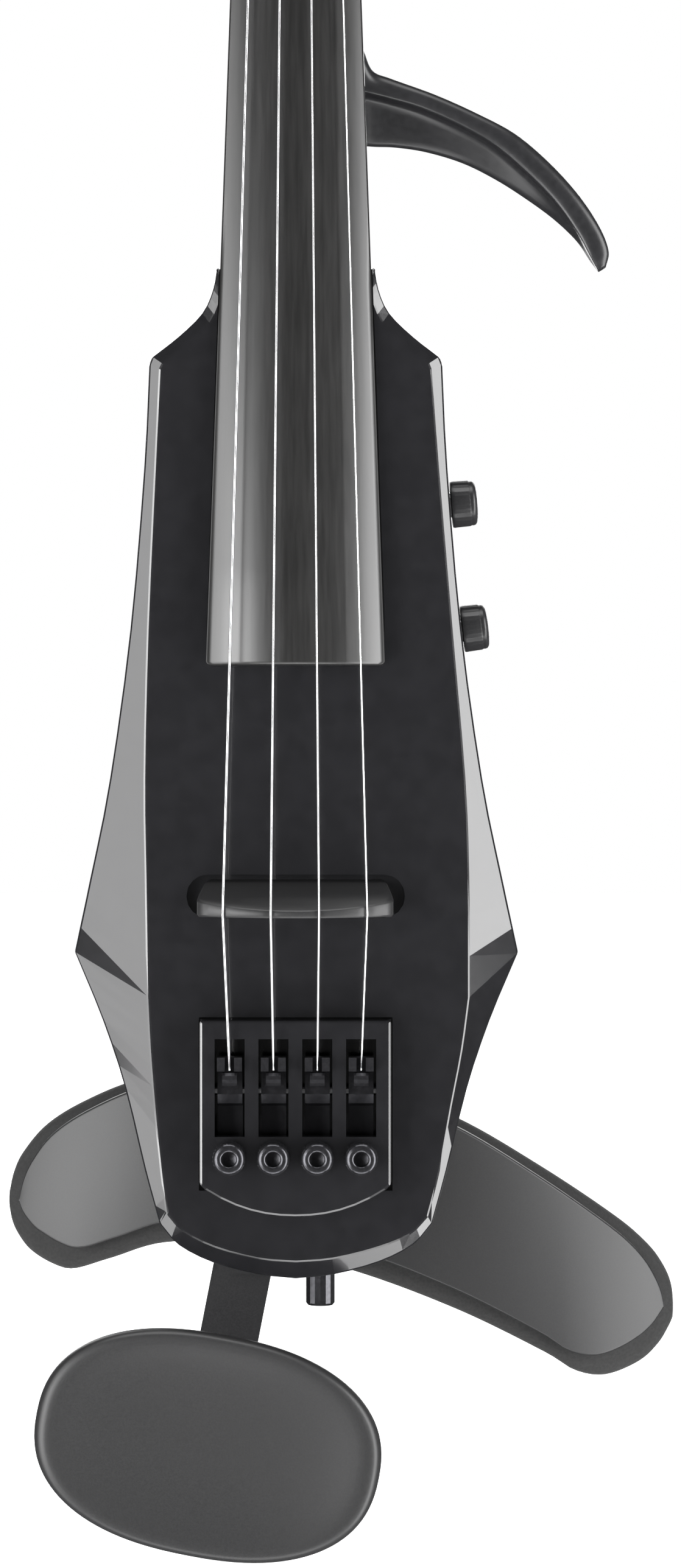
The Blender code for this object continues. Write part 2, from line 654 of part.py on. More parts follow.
# ---------------------------------------------------------------- pegs
def make_peg(name):
    side, height, depth = PEGS[name]
    outward = Vector((side, 0, 0))
    profile = ((0, 27.0), (2.6, 26.4), (3.0, 21.0), (5.0, 18.6), (5.4, 16.6), (4.6, 15.4), (PEG_RADIUS, 15.0),
               (PEG_RADIUS, -13.6), (3.0, -14.2), (0, -14.2))
    peg = turned(f"peg_{name}", profile, point(0, depth, height), outward, "ebony", 14)
    grip = [Vector((14.5 * math.cos(t) * (1 - 0.16 * math.cos(2 * t)), 0, 32.0 + 9.2 * math.sin(t)))
            for t in (math.tau * i / 18 for i in range(18))]
    rings = []
    for y, scale in ((-2.9, 0.86), (-2.0, 1.0), (2.0, 1.0), (2.9, 0.86)):
        rings.append([Vector((spot.x * scale * 0.72, y, 32.0 + (spot.z - 32.0) * scale)) for spot in grip])
    handle = loft(f"peg_grip_{name}", rings, None)
    handle.rotation_euler = peg.rotation_euler
    handle.location = peg.location
    join(peg, handle)


# ---------------------------------------------------------------- upper-bout arm
def make_arm():
    rings = []
    for outer, inner, web, front, depth in zip(ARM_OUTER, ARM_INNER, ARM_WEB, ARM_FRONT_Y, ARM_DEPTH):
        o, i, w = Vector(outer), Vector(inner), Vector(web)
        back = front + depth
        rim = [(o, front + 0.24 * depth), (o.lerp(i, 0.22), front + 0.06 * depth),
               (o.lerp(i, 0.6), front), (i, front + 0.1 * depth), (i.lerp(w, 0.12), front + 0.34 * depth),
               (w.lerp(i, 0.06), back - 0.3 * depth), (w, back - 0.12 * depth), (w.lerp(o, 0.14), back),
               (o.lerp(w, 0.3), back), (o.lerp(w, 0.02), back - 0.36 * depth)]
        rings.append([point(spot.x, y, spot.y) for spot, y in rim])
    arm = loft("upper_arm", rings, "satin_black")
    cut(arm, rod("arm_dowel_cutter", 2.1, point(14, *ARM_DOWEL), point(21.4, *ARM_DOWEL), None))
    rod("arm_dowel", 1.8, point(8.4, *ARM_DOWEL), point(21, *ARM_DOWEL), "steel")


# ---------------------------------------------------------------- bracket and rests
def bracket_screw_places():
    return [(-12.0, 42.0), (12.0, 46.0)]


def make_bracket():
    spots = []
    for i in range(9):
        turn = math.pi / 2 * (1 - i / 8)
        spots.append(point(13.0 + 5 * math.cos(turn), -2.5, 45.0 + 5 * math.sin(turn)))
    spots += [point(18, -2.5, 14), point(13, -2.5, 9), point(4, -2.5, 7.5), point(1.6, -2.5, 3.0),
              point(1.0, -2.5, 0.9), point(-0.6, -2.5, -0.1), point(-18, -2.5, -0.1), point(-20, -2.5, 3),
              point(-20, -2.5, 46), point(-16, -2.5, 50)]
    bracket = extruded("support_bracket", spots, Vector((0, 5.3, 0)), "satin_black")
    for index, (x, height) in enumerate(bracket_screw_places()):
        cut(bracket, rod(f"bracket_cutter_{index}", 2.3, point(x, 5, height), point(x, -5, height), None))
        profile = ((0, 5.8), (3.4, 5.8), (3.9, 4.6), (3.9, 3.1), (2.0, 3.1), (2.0, -15), (0, -15))
        turned(f"bracket_screw_{index + 1}", profile, point(x, 0, height), Vector((0, 1, 0)), "steel", 12)
    place = point(CHIN_PIVOT[0], 0, CHIN_PIVOT[1])
    join(bracket, rod("chin_stud", 2.5, place + Vector((0, 2, 0)), place + Vector((0, 11.5, 0)), None, 12))
    place = point(SHOULDER_PIVOT[0], 0, SHOULDER_PIVOT[1])
    join(bracket, rod("shoulder_stud", 2.5, place + Vector((0, 2, 0)), place + Vector((0, 5.9, 0)), None, 12))


def chin_local(x, y, down):
    return Vector((x, y, -down))


def place_chin(thing, down=0.0, y=0.0):
    """Lean a piece with the chin rest's bar and put its origin down the bar."""
    turn = Matrix.Rotation(CHIN_LEAN, 4, "Y")
    home = point(CHIN_PIVOT[0], 0, CHIN_PIVOT[1]) + turn @ Vector((0, y, -down))
    thing.data.transform(Matrix.Translation(Vector((0, -y, down)) * MM))
    thing.rotation_euler = (0, CHIN_LEAN, 0)
    thing.location = home * MM
    return thing


def chin_bar_path():
    """Side view of the bar, as (Y, distance down), straight then turning to the front."""
    bend = 19.0
    path = [(CHIN_BAR_Y, 0.0), (CHIN_BAR_Y, 18.0), (CHIN_BAR_Y, CHIN_REACH - bend)]
    for i in range(1, 9):
        turn = math.pi / 2 * i / 8
        path.append((CHIN_BAR_Y - bend + bend * math.cos(turn), CHIN_REACH - bend + bend * math.sin(turn)))
    path.append((CHIN_PIN_Y, CHIN_REACH))
    return path


def make_chin_bar():
    half, thick = 7.1, 2.2
    path = [Vector(spot) for spot in chin_bar_path()]
    rings = []
    for i, spot in enumerate(path):
        ahead = path[min(i + 1, len(path) - 1)] - path[max(i - 1, 0)]
        normal = Vector((ahead.y, -ahead.x)).normalized() * thick
        near, far = spot + normal, spot - normal
        rings.append([chin_local(-half, near.x, near.y), chin_local(half, near.x, near.y),
                      chin_local(half, far.x, far.y), chin_local(-half, far.x, far.y)])
    bar = place_chin(loft("chin_bar", rings, "satin_black"))
    eye = place_chin(extruded("chin_bar_eye", circle(chin_local(0, CHIN_BAR_Y - thick + 0.15, 0), half + 0.2,
                                                     Vector((1, 0, 0)), Vector((0, 0, 1))),
                              Vector((0, 2 * thick - 0.3, 0)), None))
    join(bar, eye)
    knuckle = place_chin(extruded("chin_knuckle", circle(chin_local(0.2 - half, CHIN_PIN_Y, CHIN_REACH), 4.5,
                                                         Vector((0, 1, 0)), Vector((0, 0, 1))),
                                  Vector((2 * half - 0.4, 0, 0)), None))
    join(bar, knuckle)
    cut(bar, place_chin(extruded("chin_pin_cutter", circle(chin_local(-9, CHIN_PIN_Y, CHIN_REACH), 1.8,
                                                           Vector((0, 1, 0)), Vector((0, 0, 1)), 12),
                                 Vector((18, 0, 0)), None)))
    cut(bar, place_chin(extruded("chin_stud_cutter", circle(chin_local(0, 0, 0), 2.8, Vector((1, 0, 0)),
                                                            Vector((0, 0, 1)), 12), Vector((0, 12, 0)), None)))
    knob = ((0, 15.2), (5.4, 15.2), (6.2, 14.4), (6.2, 8.8), (5.6, 8.1), (2.8, 8.1), (2.8, 12.0), (0, 12.0))
    turned("chin_clamp_knob", knob, point(CHIN_PIVOT[0], 0, CHIN_PIVOT[1]), Vector((0, 1, 0)), "dark_metal", 24)


def chin_ring(scale, y, count=28):
    ring = []
    for i in range(count):
        turn = math.tau * i / count
        power = 2 / 2.35
        x = math.copysign(abs(math.cos(turn)) ** power, math.cos(turn)) * CHIN_HALF[0] * scale
        z = math.copysign(abs(math.sin(turn)) ** power, math.sin(turn)) * CHIN_HALF[1] * scale
        ring.append(chin_local(x, y, CHIN_REACH - z))
    return ring


def make_chin_rest():
    rings = [chin_ring(scale, y) for scale, y in (
        (0.86, -38.4), (0.965, -39.4), (1.0, -41.2), (0.99, -43.2), (0.955, -44.4), (0.90, -44.5),
        (0.74, -43.4), (0.48, -42.2), (0.2, -41.8))]
    rest = place_chin(loft("chin_rest", rings, "rest_plastic"), CHIN_REACH, CHIN_PIN_Y)
    for index, x in enumerate((-10.6, 7.5)):
        cheek = [chin_local(x, CHIN_PIN_Y - 6.4, CHIN_REACH - 4.5), chin_local(x, CHIN_PIN_Y - 6.4, CHIN_REACH + 4.5)]
        for i in range(9):
            turn = math.pi * i / 8
            cheek.append(chin_local(x, CHIN_PIN_Y + 4.5 * math.sin(turn), CHIN_REACH + 4.5 * math.cos(turn)))
        join(rest, place_chin(extruded(f"chin_cheek_{index}", cheek, Vector((3.1, 0, 0)), None)))
    cut(rest, place_chin(extruded("chin_rest_pin_cutter", circle(chin_local(-12, CHIN_PIN_Y, CHIN_REACH), 1.8,
                                                                 Vector((0, 1, 0)), Vector((0, 0, 1)), 12),
                                  Vector((24, 0, 0)), None)))
    pin = extruded("chin_tilt_pin", circle(chin_local(-10.9, CHIN_PIN_Y, CHIN_REACH), 1.5,
                                           Vector((0, 1, 0)), Vector((0, 0, 1)), 12),
                   Vector((21.8, 0, 0)), "steel")
    place_chin(pin)


def make_shoulder_block():
    x0, height = SHOULDER_PIVOT
    centre = point(x0, 0, height)
    block = extruded("shoulder_block", circle(centre + Vector((0, 3.3, 0)), 8.0, Vector((1, 0, 0)),
                                              Vector((0, 0, 1))), Vector((0, 3.6, 0)), "satin_black")
    set_origin(block, centre)
    for index, x in enumerate((x0 - 7.4, x0 + 4.3)):
        join(block, box(f"shoulder_cheek_{index}", (x, x + 3.1), (5.0, 14.6), (height - 4.6, height + 4.6), None))
    join(block, box("shoulder_boss", (x0 - 4.6, x0 + 4.6), (5.2, 13.8), (height - 7.2, height - 4.4), None))
    cut(block, rod("clamp_thread_cutter", 1.8, point(5.6, 10.2, 20), point(5.6, 10.2, 28), None, 12))
    cut(block, rod("shoulder_stud_cutter", 2.8, centre, centre + Vector((0, 6.2, 0)), None, 12))
    cut(block, rod("shoulder_pin_cutter", 1.8, point(x0 - 9, SHOULDER_PIN_Y, height),
                   point(x0 + 9, SHOULDER_PIN_Y, height), None, 12))
    rod("shoulder_pin", 1.5, point(x0 - 7.7, SHOULDER_PIN_Y, height), point(x0 + 7.7, SHOULDER_PIN_Y, height),
        "steel", 12)
    profile = ((0, 21.4), (1.5, 21.4), (1.5, 0), (3.5, 0), (3.5, -12.4), (3.0, -13), (0, -13))
    turned("shoulder_clamp_screw", profile, point(5.6, 10.2, 4.0), Vector((0, 0, 1)), "dark_metal", 16)


def plate_bow(x):
    return PLATE_Y + PLATE_BOW * ((x - 8.0) / 80.0) ** 2


def rest_rings(inset, near, far, count=22):
    """Sections of the bowed shoulder rest, set in from the pad's outline."""
    upper = through(PAD_UPPER, 4)
    lower = through(PAD_LOWER, 4)
    left, right = PAD_ENDS
    scale = (right - left) / (right - left - 2 * inset)
    rings = []
    for i in range(count + 1):
        share = 0.004 + 0.992 * (1 - math.cos(math.pi * i / count)) / 2
        x = left + inset + (right - left - 2 * inset) * share
        outer = left + (x - left - inset) * scale
        top = height_at(upper, outer)
        bottom = height_at(lower, outer)
        slim = min(inset, 0.42 * (top - bottom))
        top, bottom = top - slim, bottom + slim
        bow = plate_bow(x)
        rings.append([point(x, bow + near, bottom), point(x, bow + near, top), point(x, bow + far, top),
                      point(x, bow + far, bottom)])
    return rings


def make_shoulder_rest():
    x0, height = SHOULDER_PIVOT
    hinge = point(x0, SHOULDER_PIN_Y, height)
    half = PLATE_THICK / 2
    plate = loft("shoulder_rest_plate", rest_rings(PLATE_INSET, -half, half), "rest_plastic")
    set_origin(plate, hinge)
    lug = [point(x0 - 4.0, PLATE_Y - 1, height + 4), point(x0 - 4.0, PLATE_Y - 1, height - 4)]
    for i in range(9):
        turn = math.pi * i / 8
        lug.append(point(x0 - 4.0, SHOULDER_PIN_Y - 3.9 * math.sin(turn), height - 3.9 * math.cos(turn)))
    join(plate, extruded("shoulder_lug", lug, Vector((8.0, 0, 0)), None))
    cut(plate, rod("shoulder_lug_cutter", 1.8, point(x0 - 6, SHOULDER_PIN_Y, height),
                   point(x0 + 6, SHOULDER_PIN_Y, height), None, 12))
    pad = loft("shoulder_rest_pad", rest_rings(0.0, half + GAP, half + PAD_THICK), "pad_foam")
    set_origin(pad, hinge)


# ---------------------------------------------------------------- assembly
clear_scene()
PARTS = new_collection("electric_violin")
CUTTERS = new_collection("cutters")
make_body()
make_cover()
make_neck()
make_neck_screws()
make_fingerboard()
make_nut()
make_bridge()
make_strings()
make_housing()
for string in STRING_NAMES:
    make_lever(string)
    make_tuner_screw(string)
    make_peg(string)
for control in KNOBS:
    make_control(control)
make_jack()
make_circuit()
make_arm()
make_bracket()
make_chin_bar()
make_chin_rest()
make_shoulder_block()
make_shoulder_rest()
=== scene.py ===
"""Looks of the electric violin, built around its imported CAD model.

Lengths are in millimetres and heights run up from the tail of the body, as in the CAD model.
"""
import math

import bmesh
import bpy
from mathutils import Matrix, Vector


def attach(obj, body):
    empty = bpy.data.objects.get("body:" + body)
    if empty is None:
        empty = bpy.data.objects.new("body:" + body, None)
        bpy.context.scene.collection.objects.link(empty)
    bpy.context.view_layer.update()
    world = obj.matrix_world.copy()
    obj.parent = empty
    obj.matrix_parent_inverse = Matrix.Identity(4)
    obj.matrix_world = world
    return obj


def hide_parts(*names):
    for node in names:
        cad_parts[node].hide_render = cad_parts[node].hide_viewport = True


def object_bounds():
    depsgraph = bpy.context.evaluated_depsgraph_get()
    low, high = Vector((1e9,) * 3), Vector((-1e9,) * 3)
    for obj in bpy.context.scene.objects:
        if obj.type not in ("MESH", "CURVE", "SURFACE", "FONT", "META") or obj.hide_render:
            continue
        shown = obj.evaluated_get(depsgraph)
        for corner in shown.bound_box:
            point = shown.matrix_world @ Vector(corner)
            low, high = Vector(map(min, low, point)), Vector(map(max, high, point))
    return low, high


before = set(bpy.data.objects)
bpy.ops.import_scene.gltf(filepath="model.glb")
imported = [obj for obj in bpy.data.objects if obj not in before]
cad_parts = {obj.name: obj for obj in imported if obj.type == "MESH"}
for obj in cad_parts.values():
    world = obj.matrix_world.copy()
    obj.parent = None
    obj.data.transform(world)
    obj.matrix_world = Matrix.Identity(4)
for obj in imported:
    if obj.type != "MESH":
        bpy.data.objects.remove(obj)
CAD_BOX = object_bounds()

MM = 0.001
TAIL_Z = -150.0
STRING_NAMES = ("g", "d", "a", "e")


def point(x, y, height):
    return Vector((x, y, height + TAIL_Z))


# ---------------------------------------------------------------- camera, floor and light
CAMERA_DISTANCE = 1.0
FRAME_HEIGHT = 0.3714
FRAME_CENTRE = (0.0105, -0.0322)
SENSOR = 36.0


def make_camera():
    data = bpy.data.cameras.new("camera")
    data.sensor_fit = "VERTICAL"
    data.sensor_height = SENSOR
    data.lens = SENSOR * CAMERA_DISTANCE / FRAME_HEIGHT
    data.clip_start = 0.01
    camera = bpy.data.objects.new("camera", data)
    camera.location = (FRAME_CENTRE[0], -CAMERA_DISTANCE - 0.018, FRAME_CENTRE[1])
    camera.rotation_euler = (math.radians(90), 0, 0)
    bpy.context.scene.collection.objects.link(camera)
    bpy.context.scene.camera = camera


def make_floor():
    shape = bmesh.new()
    bmesh.ops.create_grid(shape, x_segments=1, y_segments=1, size=6.0)
    data = bpy.data.meshes.new("floor")
    shape.to_mesh(data)
    shape.free()
    floor = bpy.data.objects.new("floor", data)
    floor.location = (0, 0, CAD_BOX[0][2] - 0.002)
    bpy.context.scene.collection.objects.link(floor)
    paint = bpy.data.materials.new("pale_floor")
    paint.use_nodes = True
    shader = paint.node_tree.nodes["Principled BSDF"]
    shader.inputs["Base Color"].default_value = (0.80, 0.80, 0.80, 1)
    shader.inputs["Roughness"].default_value = 0.9
    shader.inputs["Emission Color"].default_value = (1, 1, 1, 1)
    shader.inputs["Emission Strength"].default_value = 1.0
    data.materials.append(paint)
    floor.visible_glossy = False
    floor.visible_shadow = False


def softbox(name, place, target, width, height, power):
    data = bpy.data.lights.new(name, "AREA")
    data.shape = "RECTANGLE"
    data.size = width
    data.size_y = height
    data.energy = power
    lamp = bpy.data.objects.new(name, data)
    lamp.location = place
    lamp.rotation_euler = (Vector(target) - Vector(place)).to_track_quat("-Z", "Y").to_euler()
    lamp.visible_camera = False
    bpy.context.scene.collection.objects.link(lamp)


def make_lights():
    softbox("left_softbox", (-1.35, -0.86, -0.4), (0, 0, -0.4), 0.75, 2.8, 30)
    softbox("right_softbox", (1.30, -0.80, -0.4), (0, 0, -0.4), 0.75, 2.8, 56)
    softbox("top_softbox", (0.0, -0.35, 1.5), (0, 0, 0), 1.4, 0.8, 16)
    softbox("left_front_softbox", (-0.85, -1.1, -0.2), (0, 0, -0.15), 0.45, 1.0, 14)
    softbox("low_softbox", (0.0, -0.55, -0.9), (0, 0, -0.15), 0.8, 0.3, 4)
    softbox("back_softbox", (0.0, 1.6, 0.5), (0, 0, 0), 1.6, 1.2, 26)
    world = bpy.data.worlds.new("studio")
    bpy.context.scene.world = world
    world.use_nodes = True
    nodes = world.node_tree.nodes
    links = world.node_tree.links
    sky = nodes["Background"]
    sky.inputs["Color"].default_value = (1, 1, 1, 1)
    sky.inputs["Strength"].default_value = 0.07
    page = nodes.new("ShaderNodeBackground")
    page.inputs["Color"].default_value = (1, 1, 1, 1)
    page.inputs["Strength"].default_value = 1.0
    path = nodes.new("ShaderNodeLightPath")
    mix = nodes.new("ShaderNodeMixShader")
    links.new(path.outputs["Is Camera Ray"], mix.inputs["Fac"])
    links.new(sky.outputs["Background"], mix.inputs[1])
    links.new(page.outputs["Background"], mix.inputs[2])
    links.new(mix.outputs["Shader"], nodes["World Output"].inputs["Surface"])
    bpy.context.scene.view_settings.view_transform = "Standard"


# ---------------------------------------------------------------- materials
def finish(name, colour, roughness, metallic=0.0, coat=0.0, coat_rough=0.04, contrast=0.15, spread=0.04,
           bump=0.02, scale=500.0, stretch=(1, 1, 1), depth=0.0002, sheen=0.0):
    """A Principled surface whose colour, roughness and height vary with a stretched noise."""
    surface = bpy.data.materials.new(name)
    surface.use_nodes = True
    nodes = surface.node_tree.nodes
    links = surface.node_tree.links
    shader = nodes["Principled BSDF"]
    shader.inputs["Metallic"].default_value = metallic
    shader.inputs["Coat Weight"].default_value = coat
    shader.inputs["Coat Roughness"].default_value = coat_rough
    shader.inputs["Sheen Weight"].default_value = sheen
    place = nodes.new("ShaderNodeTexCoord")
    mapping = nodes.new("ShaderNodeMapping")
    mapping.inputs["Scale"].default_value = stretch
    noise = nodes.new("ShaderNodeTexNoise")
    noise.inputs["Scale"].default_value = scale
    noise.inputs["Detail"].default_value = 6
    links.new(place.outputs["Object"], mapping.inputs["Vector"])
    links.new(mapping.outputs["Vector"], noise.inputs["Vector"])
    ramp = nodes.new("ShaderNodeValToRGB")
    dark = tuple(channel * (1 - contrast) for channel in colour)
    light = tuple(min(1.0, channel * (1 + contrast)) for channel in colour)
    ramp.color_ramp.elements[0].position = 0.36
    ramp.color_ramp.elements[1].position = 0.64
    ramp.color_ramp.elements[0].color = (*dark, 1)
    ramp.color_ramp.elements[1].color = (*light, 1)
    links.new(noise.outputs["Fac"], ramp.inputs["Fac"])
    links.new(ramp.outputs["Color"], shader.inputs["Base Color"])
    gloss = nodes.new("ShaderNodeMapRange")
    gloss.inputs["To Min"].default_value = max(0.02, roughness - spread)
    gloss.inputs["To Max"].default_value = roughness + spread
    links.new(noise.outputs["Fac"], gloss.inputs["Value"])
    links.new(gloss.outputs["Result"], shader.inputs["Roughness"])
    relief = nodes.new("ShaderNodeBump")
    relief.inputs["Strength"].default_value = bump
    relief.inputs["Distance"].default_value = depth
    links.new(noise.outputs["Fac"], relief.inputs["Height"])
    links.new(relief.outputs["Normal"], shader.inputs["Normal"])
    return surface


def wound_steel(name, turns_per_m):
    """Flat steel winding on a string: fine rings along the string."""
    surface = finish(name, (0.66, 0.66, 0.67), 0.24, metallic=1.0, contrast=0.05, bump=0.02)
    nodes = surface.node_tree.nodes
    links = surface.node_tree.links
    wave = nodes.new("ShaderNodeTexWave")
    wave.bands_direction = "Z"
    wave.inputs["Scale"].default_value = turns_per_m
    wave.inputs["Distortion"].default_value = 0.3
    place = nodes["Texture Coordinate"]
    relief = nodes["Bump"]
    relief.inputs["Strength"].default_value = 0.25
    relief.inputs["Distance"].default_value = 0.00006
    links.new(place.outputs["Object"], wave.inputs["Vector"])
    links.new(wave.outputs["Fac"], relief.inputs["Height"])
    return surface


GLOSS_BLACK = finish("gloss_black_lacquer", (0.009, 0.009, 0.010), 0.14, coat=0.6, coat_rough=0.05,
                     contrast=0.1,
                     spread=0.01, bump=0.004, scale=240, depth=0.0002)
SATIN_LACQUER = finish("satin_black_lacquer", (0.012, 0.012, 0.013), 0.30, contrast=0.12, bump=0.012,
                       scale=700)
EBONY = finish("oiled_ebony", (0.010, 0.0098, 0.0096), 0.34, coat=0.6, coat_rough=0.26, contrast=0.18,
               spread=0.07, bump=0.10, scale=900,
               stretch=(1, 1, 0.035), depth=0.00015)
PEG_EBONY = finish("polished_ebony", (0.020, 0.0185, 0.018), 0.26, contrast=0.25, spread=0.05, bump=0.06,
                   scale=900, stretch=(0.06, 1, 1), depth=0.0001)
STEEL = finish("polished_steel", (0.74, 0.74, 0.76), 0.22, metallic=1.0, contrast=0.08, bump=0.03,
               scale=1500)
DARK_METAL = finish("black_nickel", (0.055, 0.055, 0.06), 0.24, metallic=0.85, contrast=0.15, bump=0.03,
                    scale=1300)
BLACK_ALUMINIUM = finish("anodised_black", (0.018, 0.018, 0.019), 0.42, metallic=0.3, contrast=0.15,
                         bump=0.05,
                         scale=2600, depth=0.00008)
REST_PLASTIC = finish("satin_rest_plastic", (0.017, 0.017, 0.0175), 0.40, contrast=0.10, spread=0.04,
                      bump=0.08,
                      scale=2600, depth=0.00008)
KNOB_PLASTIC = finish("knob_plastic", (0.016, 0.016, 0.017), 0.33, contrast=0.12, bump=0.05, scale=2200)
PAD_FOAM = finish("foam_rubber", (0.012, 0.012, 0.012), 0.82, contrast=0.35, spread=0.08, bump=0.35,
                  scale=1500,
                  depth=0.0003, sheen=0.05)
BOARD_GREEN = finish("solder_mask", (0.012, 0.07, 0.035), 0.35, contrast=0.15, scale=800)
LEAD_RUBBER = finish("lead_rubber", (0.015, 0.015, 0.015), 0.6, contrast=0.2, scale=1500)
STRING_STEEL = {"g": wound_steel("winding_g", 900.0), "d": wound_steel("winding_d", 1000.0),
                "a": wound_steel("winding_a", 1100.0),
                "e": finish("plain_steel_e", (0.88, 0.88, 0.88), 0.18, metallic=1.0, contrast=0.05)}

NODE_FINISH = {
    "body": GLOSS_BLACK, "neck": GLOSS_BLACK, "tuner_housing": GLOSS_BLACK, "fingerboard": EBONY,
    "nut": EBONY, "bridge": EBONY, "upper_arm": SATIN_LACQUER, "back_cover": BLACK_ALUMINIUM,
    "support_bracket": BLACK_ALUMINIUM, "chin_bar": BLACK_ALUMINIUM, "shoulder_block": BLACK_ALUMINIUM,
    "chin_rest": REST_PLASTIC, "shoulder_rest_plate": REST_PLASTIC, "shoulder_rest_pad": PAD_FOAM,
    "volume_knob": KNOB_PLASTIC, "tone_knob": KNOB_PLASTIC, "chin_clamp_knob": DARK_METAL,
    "shoulder_clamp_screw": DARK_METAL, "circuit_board": BOARD_GREEN, "pickup_lead": LEAD_RUBBER,
    "jack_lead": LEAD_RUBBER,
}
for string in STRING_NAMES:
    NODE_FINISH[f"peg_{string}"] = PEG_EBONY
    NODE_FINISH[f"tuner_screw_{string}"] = DARK_METAL
    NODE_FINISH[f"tuner_lever_{string}"] = DARK_METAL
    NODE_FINISH[f"string_ball_{string}"] = DARK_METAL
    NODE_FINISH[f"string_{string}"] = STRING_STEEL[string]


def paint_cad_nodes():
    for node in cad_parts:
        thing = bpy.data.objects[node]
        thing.data.materials.clear()
        thing.data.materials.append(NODE_FINISH.get(node, STEEL))


# ---------------------------------------------------------------- shapes
def add_piece(name, data, paint, body, replaced=()):
    piece = bpy.data.objects.new(name, data)
    bpy.context.scene.collection.objects.link(piece)
    data.materials.append(paint)
    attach(piece, body)
    if replaced:
        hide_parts(*replaced)
    return piece


def closed_mesh(name, rings_list, sharp=40):
    """One mesh of closed lofts; each loft is a list of rings with the same number of points."""
    shape = bmesh.new()
    for rings in rings_list:
        rows = [[shape.verts.new(spot * MM) for spot in ring] for ring in rings]
        for lower, upper in zip(rows, rows[1:]):
            for index in range(len(lower)):
                after = (index + 1) % len(lower)
                shape.faces.new((lower[index], lower[after], upper[after], upper[index]))
        shape.faces.new(list(reversed(rows[0])))
        shape.faces.new(rows[-1])
    bmesh.ops.recalc_face_normals(shape, faces=shape.faces[:])
    data = bpy.data.meshes.new(name)
    shape.to_mesh(data)
    shape.free()
    data.shade_smooth()
    data.set_sharp_from_angle(angle=math.radians(sharp))
    return data


def through(knots, steps, closed=False):
    """Points on a smooth curve through the knots (Catmull-Rom)."""
    knots = [Vector(knot) for knot in knots]
    if closed:
        padded = [knots[-1], *knots, knots[0], knots[1]]
    else:
        padded = [2 * knots[0] - knots[1], *knots, 2 * knots[-1] - knots[-2]]
    spots = []
    for a, b, c, d in zip(padded, padded[1:], padded[2:], padded[3:]):
        for step in range(steps):
            t = step / steps
            spots.append(0.5 * (2 * b + (c - a) * t + (2 * a - 5 * b + 4 * c - d) * t * t
                                + (3 * b - a - 3 * c + d) * t ** 3))
    if not closed:
        spots.append(knots[-1])
    return spots


def turned_rings(profile, place, direction, steps=48, ribs=0, rib_depth=0.0, ribbed=()):
    """Rings of a turned shape from (radius, distance) pairs; ribbed lists the pairs that carry ribs."""
    turn = direction.to_track_quat("Z", "Y").to_matrix()
    rings = []
    for index, (radius, distance) in enumerate(profile):
        ring = []
        for i in range(steps):
            angle = math.tau * i / steps
            wave = rib_depth * 0.5 * (1 + math.cos(ribs * angle)) if index in ribbed else 0.0
            reach = radius - wave
            ring.append(place + turn @ Vector((reach * math.cos(angle), reach * math.sin(angle), distance)))
        rings.append(ring)
    return rings


# ---------------------------------------------------------------- fingerboard, bridge and strings
BRIDGE_HEIGHT = 87.7
NUT_HEIGHT = BRIDGE_HEIGHT + 328.0
BRIDGE_SPACING = 33.4 / 3
NUT_SPACING = 16.5 / 3
TUNER_SPACING = 10.2
BRIDGE_STRING_Y = -47.5
NUT_STRING_Y = -24.0
ARCH_RADIUS = 42.0
BOARD_END = 145.5
BOARD_TOP = 411.2
BOARD_SIDE = 4.6
PEGS = {"g": (-1, 434.0, -5.5), "e": (1, 448.0, -3.6), "d": (-1, 462.0, -1.6), "a": (1, 476.0, 0.4)}
PEG_RADIUS = 3.7
STRING_RADII = {"g": 0.33, "d": 0.30, "a": 0.26, "e": 0.21}
FORK_Y = -35.4
STRING_TAIL = 51.2
SCREW_HEIGHT = 31.0

# Height up the body, wall X and lean of the wall in degrees
KNOBS = {"volume": (184.4, 36.2, 4.6), "tone": (154.7, 38.8, 7.0)}
KNOB_Y = -10.5


def arch(x, radius=ARCH_RADIUS):
    return radius - math.sqrt(radius * radius - x * x)


def along_board(height):
    return (height - BOARD_END) / (NUT_HEIGHT - BOARD_END)


def board_half(height):
    return 20.9 - 9.4 * along_board(height)


def board_underside(height):
    return -28.4 + 11.65 * along_board(height)


def board_section(height, shrink=0.0):
    half = board_half(height) - shrink
    bottom = board_underside(height) - shrink * 0.4
    crown = board_underside(height) - BOARD_SIDE - arch(board_half(height)) + shrink * 0.6
    ring = [point(-half, bottom, height), point(-half, crown + arch(half) + 0.55, height)]
    for i in range(41):
        x = -half + 0.35 + 2 * (half - 0.35) * i / 40
        ring.append(point(x, crown + arch(x), height))
    return ring + [point(half, crown + arch(half) + 0.55, height), point(half, bottom, height)]


def make_fingerboard():
    rings = [board_section(BOARD_END + 0.02, 0.9), board_section(BOARD_END + 0.35, 0.3)]
    rings += [board_section(BOARD_END + 0.9 + (BOARD_TOP - BOARD_END - 0.9) * i / 12) for i in range(13)]
    add_piece("fingerboard_arched", closed_mesh("fingerboard_arched", [rings]), EBONY, "violin",
              ("fingerboard",))


def string_offset(name):
    return STRING_NAMES.index(name) - 1.5


